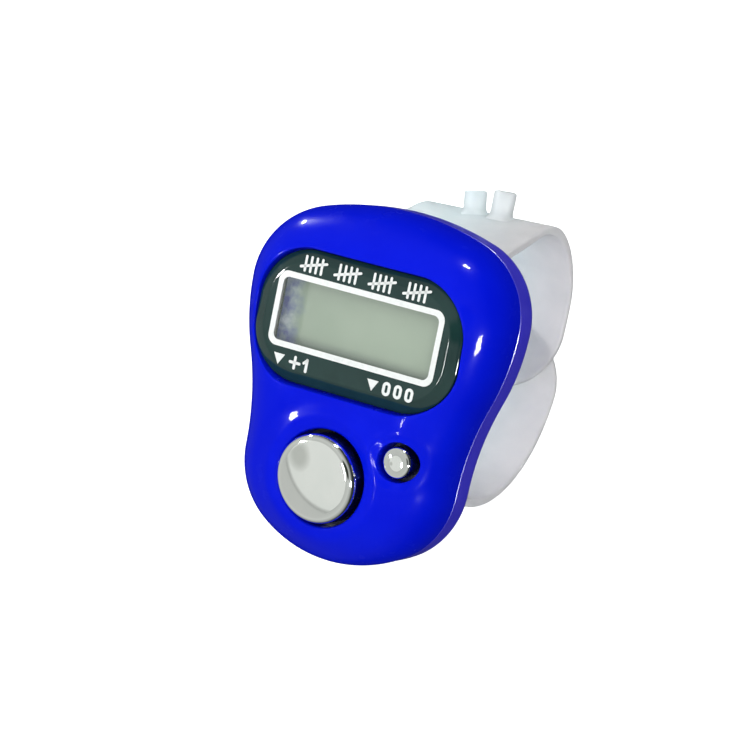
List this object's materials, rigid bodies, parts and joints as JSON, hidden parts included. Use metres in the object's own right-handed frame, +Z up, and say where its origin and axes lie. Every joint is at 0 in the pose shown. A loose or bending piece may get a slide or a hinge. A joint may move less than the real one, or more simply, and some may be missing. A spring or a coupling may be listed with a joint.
{
  "type": "finger tally counter",
  "caption": "Finger-worn electronic tally counter: pear-shaped two-shell case with a display window, a large count key and a small reset key, on a ring of two soft straps.",
  "frame": {"origin": "on the table under the middle of the whole counter's box, as it stands leaning back on its lower edge and on the ring", "axes": "+Z up, +X along the finger, which passes through the ring, and to the right along the display; the face looks towards -Y, leaning back by 24.1 degrees"},
  "size_m": [0.031, 0.0434, 0.036],
  "materials": {
    "blue_shell": "glossy moulded royal blue ABS",
    "steel_screw": "bright zinc plating",
    "lens": "clear acrylic, back-printed black round the window",
    "tape": "black double-sided film",
    "polariser": "grey-green film",
    "lcd_glass": "clear thin glass",
    "reflector": "matt grey-green reflector film",
    "white_plastic": "matt white ABS",
    "zebra_rubber": "soft pink silicone with a dark conductive core",
    "board_green": "green solder resist",
    "epoxy_black": "matt black epoxy",
    "component_body": "ceramic",
    "chrome": "bright chrome plating over ABS",
    "silicone": "translucent silicone",
    "carbon": "conductive carbon rubber",
    "cell_steel": "bright nickel-plated steel",
    "cell_gasket": "nylon seal",
    "contact_metal": "tinned spring strip",
    "strap_clear": "frosted translucent soft PVC"
  },
  "bodies": {
    "case": {"front_shell": "blue_shell", "rear_shell": "blue_shell", "case_screws": "steel_screw", "window_lens": "lens", "lens_tape": "tape", "lcd_front_polariser": "polariser", "lcd_front_glass": "lcd_glass", "lcd_rear_glass": "lcd_glass", "lcd_reflector": "reflector", "lcd_holder": "white_plastic", "zebra_strip": "zebra_rubber", "circuit_board": "board_green", "chip_blob": "epoxy_black", "board_components": "component_body", "count_rubber_dome": "silicone", "reset_rubber_dome": "silicone", "cell_can": "cell_steel", "cell_gasket": "cell_gasket", "cell_cap": "cell_steel", "negative_contact": "contact_metal", "positive_contact": "contact_metal"},
    "count_key": {"count_button": "chrome", "count_carbon_pill": "carbon"},
    "reset_key": {"reset_button": "chrome", "reset_carbon_pill": "carbon"},
    "upper_strap": {"strap_upper": "strap_clear"},
    "lower_strap": {"strap_lower": "strap_clear"}
  },
  "joints": [
    {"name": "count_press", "type": "slide", "parent": "case", "child": "count_key", "axis": [0, 0.913, -0.408], "range_m": [0, 0.00095], "stiffness_N_per_m": 1300, "deforming": ["count_rubber_dome"]},
    {"name": "reset_press", "type": "slide", "parent": "case", "child": "reset_key", "axis": [0, 0.913, -0.408], "range_m": [0, 0.0006], "stiffness_N_per_m": 1500, "deforming": ["reset_rubber_dome"]},
    {"name": "lower_strap_flex", "type": "hinge", "parent": "case", "child": "lower_strap", "pos_m": [0, -0.01091, 0.00959], "axis": [-1, 0, 0], "range_deg": [0, 20], "stiffness_Nm_per_rad": 0.02},
    {"name": "upper_strap_flex", "type": "hinge", "parent": "case", "child": "upper_strap", "pos_m": [0, -0.00196, 0.02963], "axis": [1, 0, 0], "range_deg": [0, 20], "stiffness_Nm_per_rad": 0.02}
  ],
  "couplings": [
    {"joint": "upper_strap_flex", "follows": "lower_strap_flex", "ratio": 1}
  ]
}
